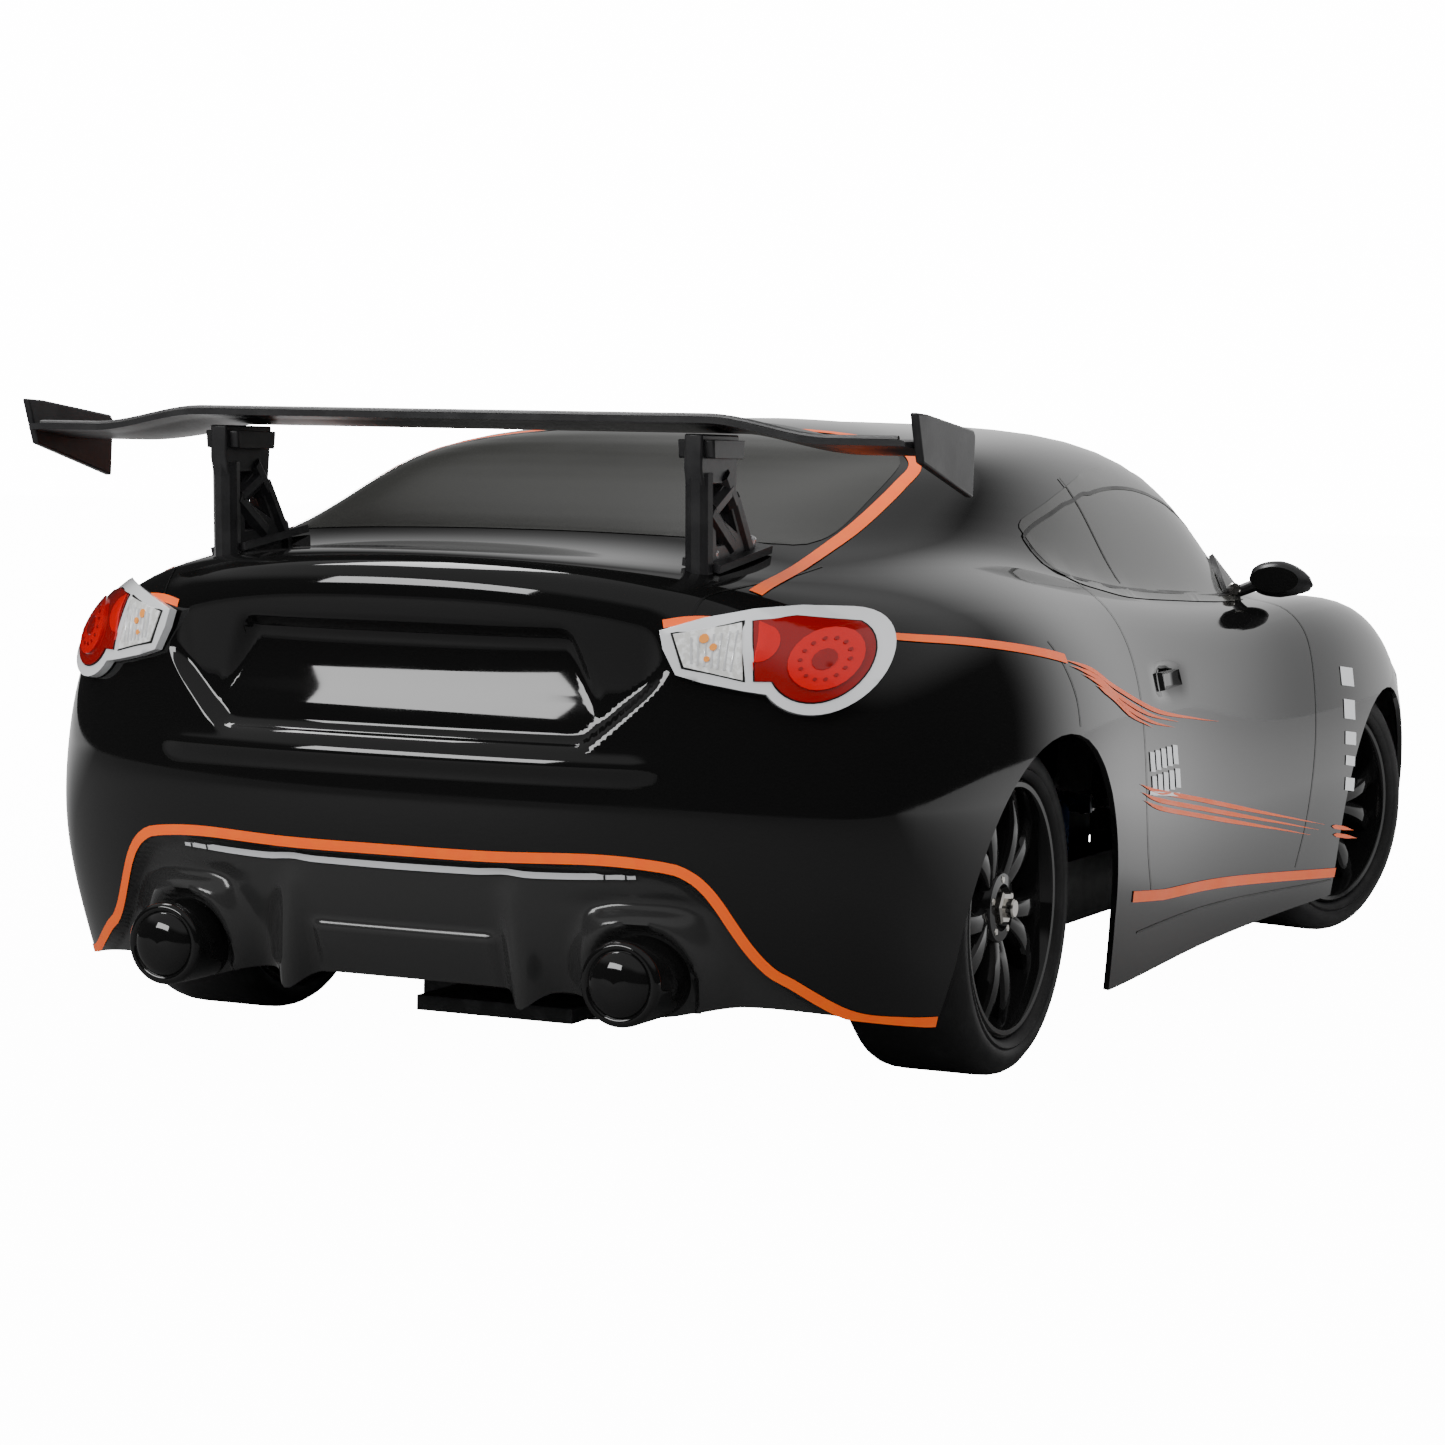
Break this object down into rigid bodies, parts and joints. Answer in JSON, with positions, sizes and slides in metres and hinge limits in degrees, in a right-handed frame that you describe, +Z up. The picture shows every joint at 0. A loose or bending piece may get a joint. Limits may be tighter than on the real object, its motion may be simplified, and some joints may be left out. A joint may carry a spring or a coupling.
{
  "type": "rc drift car",
  "caption": "Radio-controlled rear-drive drift car with a lift-off coupe shell, tall rear wing, sprung suspension and steered front wheels.",
  "frame": {"origin": "on the ground, below the middle of the car's length and width", "axes": "+X forward, +Y to the car's left, +Z up"},
  "size_m": [0.4275, 0.202, 0.1271],
  "materials": {
    "shell_gloss": "gloss clear polycarbonate, painted black inside",
    "wing_satin": "satin",
    "lamp_chrome": "plated plastic bezel",
    "chassis_nylon": "moulded nylon",
    "rim_gloss": "gloss black",
    "tyre_rubber": "smooth hard drift compound",
    "steel": "bright",
    "alloy": "satin",
    "orange_alloy": "anodised",
    "spur_nylon": "moulded",
    "foam": "soft block",
    "battery_wrap": "shrink wrap"
  },
  "bodies": {
    "chassis": {"chassis_tub": "chassis_nylon", "rear_gearbox": "chassis_nylon", "front_shock_tower": "chassis_nylon", "rear_shock_tower": "chassis_nylon", "motor_can": "orange_alloy", "battery_pack": "battery_wrap", "battery_strap": "chassis_nylon", "speed_controller": "orange_alloy", "receiver": "chassis_nylon", "steering_servo": "chassis_nylon", "bumper_foam": "foam"},
    "shell": {"body_shell": "shell_gloss", "tail_lamp_left": "lamp_chrome", "tail_lamp_right": "lamp_chrome", "mirror_left": "wing_satin", "mirror_right": "wing_satin", "wing_blade": "wing_satin", "wing_stay_left": "wing_satin", "wing_stay_right": "wing_satin", "wing_endplate_left": "wing_satin", "wing_endplate_right": "wing_satin"},
    "spool": {"rear_spool": "steel"},
    "layshaft": {"layshaft": "spur_nylon"},
    "pinion": {"motor_pinion": "steel"},
    "rack": {"steering_rack": "alloy"},
    "horn": {"servo_horn": "alloy"},
    "tie_rod_left": {"tie_rod_left": "steel"},
    "tie_rod_right": {"tie_rod_right": "steel"},
    "arm_front_left": {"lower_arm_front_left": "chassis_nylon"},
    "link_front_left": {"upper_link_front_left": "steel"},
    "damper_front_left": {"damper_body_front_left": "alloy"},
    "damper_rod_front_left": {"damper_rod_front_left": "chassis_nylon"},
    "carrier_front_left": {"carrier_front_left": "chassis_nylon"},
    "knuckle_front_left": {"knuckle_front_left": "chassis_nylon"},
    "wheel_front_left": {"rim_front_left": "rim_gloss", "tyre_front_left": "tyre_rubber"},
    "arm_front_right": {"lower_arm_front_right": "chassis_nylon"},
    "link_front_right": {"upper_link_front_right": "steel"},
    "damper_front_right": {"damper_body_front_right": "alloy"},
    "damper_rod_front_right": {"damper_rod_front_right": "chassis_nylon"},
    "carrier_front_right": {"carrier_front_right": "chassis_nylon"},
    "knuckle_front_right": {"knuckle_front_right": "chassis_nylon"},
    "wheel_front_right": {"rim_front_right": "rim_gloss", "tyre_front_right": "tyre_rubber"},
    "arm_rear_left": {"lower_arm_rear_left": "chassis_nylon"},
    "link_rear_left": {"upper_link_rear_left": "steel"},
    "damper_rear_left": {"damper_body_rear_left": "alloy"},
    "damper_rod_rear_left": {"damper_rod_rear_left": "chassis_nylon"},
    "carrier_rear_left": {"carrier_rear_left": "chassis_nylon"},
    "driveshaft_left": {"driveshaft_left": "steel"},
    "wheel_rear_left": {"rim_rear_left": "rim_gloss", "tyre_rear_left": "tyre_rubber"},
    "arm_rear_right": {"lower_arm_rear_right": "chassis_nylon"},
    "link_rear_right": {"upper_link_rear_right": "steel"},
    "damper_rear_right": {"damper_body_rear_right": "alloy"},
    "damper_rod_rear_right": {"damper_rod_rear_right": "chassis_nylon"},
    "carrier_rear_right": {"carrier_rear_right": "chassis_nylon"},
    "driveshaft_right": {"driveshaft_right": "steel"},
    "wheel_rear_right": {"rim_rear_right": "rim_gloss", "tyre_rear_right": "tyre_rubber"}
  },
  "joints": [
    {"name": "shell_lift", "type": "slide", "parent": "chassis", "child": "shell", "axis": [0, 0, 1], "range_m": [0, 0.13]},
    {"name": "spool_spin", "type": "hinge", "parent": "chassis", "child": "spool", "pos_m": [-0.1295, 0, 0.0325], "axis": [0, 1, 0], "continuous": true},
    {"name": "layshaft_spin", "type": "hinge", "parent": "chassis", "child": "layshaft", "pos_m": [-0.10838, 0, 0.04235], "axis": [0, 1, 0], "continuous": true},
    {"name": "pinion_spin", "type": "hinge", "parent": "chassis", "child": "pinion", "pos_m": [-0.08421, 0.02, 0.0315], "axis": [0, 1, 0], "continuous": true},
    {"name": "arm_hinge_front_left", "type": "hinge", "parent": "chassis", "child": "arm_front_left", "pos_m": [0.1275, 0.022, 0.015], "axis": [1, 0, 0], "range_deg": [-6, 8], "stiffness_Nm_per_rad": 1.2, "springref_deg": -4.01},
    {"name": "link_hinge_front_left", "type": "hinge", "parent": "chassis", "child": "link_front_left", "pos_m": [0.1315, 0.022, 0.05], "axis": [1, 0, 0], "range_deg": [-6.1, 8.1]},
    {"name": "carrier_hinge_front_left", "type": "hinge", "parent": "arm_front_left", "child": "carrier_front_left", "pos_m": [0.1275, 0.0565, 0.015], "axis": [1, 0, 0], "range_deg": [-8.1, 6.1]},
    {"name": "damper_hinge_front_left", "type": "hinge", "parent": "chassis", "child": "damper_front_left", "pos_m": [0.1435, 0.036, 0.07], "axis": [1, 0, 0], "range_deg": [-0.43, 0.34]},
    {"name": "damper_slide_front_left", "type": "slide", "parent": "damper_front_left", "child": "damper_rod_front_left", "axis": [0, 0.2234, -0.9747], "range_m": [-0.00371, 0.00281]},
    {"name": "steer_left", "type": "hinge", "parent": "carrier_front_left", "child": "knuckle_front_left", "pos_m": [0.1275, 0.0655, 0.0325], "axis": [0, 0, 1], "range_deg": [-8, 42]},
    {"name": "wheel_spin_front_left", "type": "hinge", "parent": "knuckle_front_left", "child": "wheel_front_left", "pos_m": [0.13159, 0.07889, 0.0325], "axis": [0.2924, 0.9563, 0], "continuous": true},
    {"name": "tie_rod_hinge_left", "type": "hinge", "parent": "rack", "child": "tie_rod_left", "pos_m": [0.11224, 0.03497, 0.03], "axis": [1, 0, 0], "range_deg": [-5.93, 7.87]},
    {"name": "arm_hinge_front_right", "type": "hinge", "parent": "chassis", "child": "arm_front_right", "pos_m": [0.1275, -0.022, 0.015], "axis": [-1, 0, 0], "range_deg": [-6, 8], "stiffness_Nm_per_rad": 1.2, "springref_deg": -4.01},
    {"name": "link_hinge_front_right", "type": "hinge", "parent": "chassis", "child": "link_front_right", "pos_m": [0.1315, -0.022, 0.05], "axis": [-1, 0, 0], "range_deg": [-6.1, 8.1]},
    {"name": "carrier_hinge_front_right", "type": "hinge", "parent": "arm_front_right", "child": "carrier_front_right", "pos_m": [0.1275, -0.0565, 0.015], "axis": [-1, 0, 0], "range_deg": [-8.1, 6.1]},
    {"name": "damper_hinge_front_right", "type": "hinge", "parent": "chassis", "child": "damper_front_right", "pos_m": [0.1435, -0.036, 0.07], "axis": [-1, 0, 0], "range_deg": [-0.43, 0.34]},
    {"name": "damper_slide_front_right", "type": "slide", "parent": "damper_front_right", "child": "damper_rod_front_right", "axis": [0, -0.2234, -0.9747], "range_m": [-0.00371, 0.00281]},
    {"name": "steer_right", "type": "hinge", "parent": "carrier_front_right", "child": "knuckle_front_right", "pos_m": [0.1275, -0.0655, 0.0325], "axis": [0, 0, 1], "range_deg": [-8.1, 42.1]},
    {"name": "wheel_spin_front_right", "type": "hinge", "parent": "knuckle_front_right", "child": "wheel_front_right", "pos_m": [0.12341, -0.07889, 0.0325], "axis": [0.2924, 0.9563, 0], "continuous": true},
    {"name": "tie_rod_hinge_right", "type": "hinge", "parent": "rack", "child": "tie_rod_right", "pos_m": [0.11224, -0.02503, 0.03], "axis": [-1, 0, 0], "range_deg": [-5.93, 7.87]},
    {"name": "arm_hinge_rear_left", "type": "hinge", "parent": "chassis", "child": "arm_rear_left", "pos_m": [-0.1295, 0.022, 0.015], "axis": [1, 0, 0], "range_deg": [-6, 8], "stiffness_Nm_per_rad": 1.2, "springref_deg": -4.01},
    {"name": "link_hinge_rear_left", "type": "hinge", "parent": "chassis", "child": "link_rear_left", "pos_m": [-0.1335, 0.022, 0.05], "axis": [1, 0, 0], "range_deg": [-6.1, 8.1]},
    {"name": "carrier_hinge_rear_left", "type": "hinge", "parent": "arm_rear_left", "child": "carrier_rear_left", "pos_m": [-0.1295, 0.0565, 0.015], "axis": [1, 0, 0], "range_deg": [-8.1, 6.1]},
    {"name": "damper_hinge_rear_left", "type": "hinge", "parent": "chassis", "child": "damper_rear_left", "pos_m": [-0.1455, 0.036, 0.07], "axis": [1, 0, 0], "range_deg": [-0.43, 0.34]},
    {"name": "damper_slide_rear_left", "type": "slide", "parent": "damper_rear_left", "child": "damper_rod_rear_left", "axis": [0, 0.2234, -0.9747], "range_m": [-0.00371, 0.00281]},
    {"name": "wheel_spin_rear_left", "type": "hinge", "parent": "carrier_rear_left", "child": "wheel_rear_left", "pos_m": [-0.1295, 0.0795, 0.0325], "axis": [0, 1, 0], "continuous": true},
    {"name": "driveshaft_spin_left", "type": "hinge", "parent": "arm_rear_left", "child": "driveshaft_left", "pos_m": [-0.1295, 0.04, 0.0325], "axis": [0, 1, 0], "continuous": true},
    {"name": "arm_hinge_rear_right", "type": "hinge", "parent": "chassis", "child": "arm_rear_right", "pos_m": [-0.1295, -0.022, 0.015], "axis": [-1, 0, 0], "range_deg": [-6, 8], "stiffness_Nm_per_rad": 1.2, "springref_deg": -4.01},
    {"name": "link_hinge_rear_right", "type": "hinge", "parent": "chassis", "child": "link_rear_right", "pos_m": [-0.1335, -0.022, 0.05], "axis": [-1, 0, 0], "range_deg": [-6.1, 8.1]},
    {"name": "carrier_hinge_rear_right", "type": "hinge", "parent": "arm_rear_right", "child": "carrier_rear_right", "pos_m": [-0.1295, -0.0565, 0.015], "axis": [-1, 0, 0], "range_deg": [-8.1, 6.1]},
    {"name": "damper_hinge_rear_right", "type": "hinge", "parent": "chassis", "child": "damper_rear_right", "pos_m": [-0.1455, -0.036, 0.07], "axis": [-1, 0, 0], "range_deg": [-0.43, 0.34]},
    {"name": "damper_slide_rear_right", "type": "slide", "parent": "damper_rear_right", "child": "damper_rod_rear_right", "axis": [0, -0.2234, -0.9747], "range_m": [-0.00371, 0.00281]},
    {"name": "wheel_spin_rear_right", "type": "hinge", "parent": "carrier_rear_right", "child": "wheel_rear_right", "pos_m": [-0.1295, -0.0795, 0.0325], "axis": [0, 1, 0], "continuous": true},
    {"name": "driveshaft_spin_right", "type": "hinge", "parent": "arm_rear_right", "child": "driveshaft_right", "pos_m": [-0.1295, -0.04, 0.0325], "axis": [0, 1, 0], "continuous": true},
    {"name": "rack_slide", "type": "slide", "parent": "chassis", "child": "rack", "axis": [0, 1, 0], "range_m": [-0.01235, 0.00243]},
    {"name": "horn_hinge", "type": "hinge", "parent": "chassis", "child": "horn", "pos_m": [0.10324, 0, 0.023], "axis": [1, 0, 0], "range_deg": [-9.9, 51.54]}
  ],
  "couplings": [
    {"joint": "spool_spin", "follows": "wheel_spin_rear_left", "ratio": 1},
    {"joint": "layshaft_spin", "follows": "wheel_spin_rear_left", "ratio": -3.8333},
    {"joint": "pinion_spin", "follows": "wheel_spin_rear_left", "ratio": 10.222},
    {"joint": "link_hinge_front_left", "follows": "arm_hinge_front_left", "ratio": 1},
    {"joint": "carrier_hinge_front_left", "follows": "arm_hinge_front_left", "ratio": -1},
    {"joint": "damper_hinge_front_left", "follows": "arm_hinge_front_left", "ratio": -0.0407},
    {"joint": "damper_slide_front_left", "follows": "arm_hinge_front_left", "m_per_rad": -0.025848},
    {"joint": "tie_rod_hinge_left", "follows": "arm_hinge_front_left", "ratio": 0.9717},
    {"joint": "link_hinge_front_right", "follows": "arm_hinge_front_right", "ratio": 1},
    {"joint": "carrier_hinge_front_right", "follows": "arm_hinge_front_right", "ratio": -1},
    {"joint": "damper_hinge_front_right", "follows": "arm_hinge_front_right", "ratio": -0.0407},
    {"joint": "damper_slide_front_right", "follows": "arm_hinge_front_right", "m_per_rad": -0.025848},
    {"joint": "steer_right", "follows": "steer_left", "ratio": 1},
    {"joint": "tie_rod_hinge_right", "follows": "arm_hinge_front_right", "ratio": 0.9717},
    {"joint": "link_hinge_rear_left", "follows": "arm_hinge_rear_left", "ratio": 1},
    {"joint": "carrier_hinge_rear_left", "follows": "arm_hinge_rear_left", "ratio": -1},
    {"joint": "damper_hinge_rear_left", "follows": "arm_hinge_rear_left", "ratio": -0.0407},
    {"joint": "damper_slide_rear_left", "follows": "arm_hinge_rear_left", "m_per_rad": -0.025848},
    {"joint": "driveshaft_spin_left", "follows": "wheel_spin_rear_left", "ratio": 1},
    {"joint": "link_hinge_rear_right", "follows": "arm_hinge_rear_right", "ratio": 1},
    {"joint": "carrier_hinge_rear_right", "follows": "arm_hinge_rear_right", "ratio": -1},
    {"joint": "damper_hinge_rear_right", "follows": "arm_hinge_rear_right", "ratio": -0.0407},
    {"joint": "damper_slide_rear_right", "follows": "arm_hinge_rear_right", "m_per_rad": -0.025848},
    {"joint": "wheel_spin_rear_right", "follows": "wheel_spin_rear_left", "ratio": 1},
    {"joint": "driveshaft_spin_right", "follows": "wheel_spin_rear_left", "ratio": 1},
    {"joint": "rack_slide", "follows": "steer_left", "m_per_rad": -0.016715},
    {"joint": "horn_hinge", "follows": "steer_left", "ratio": 1.2248}
  ]
}
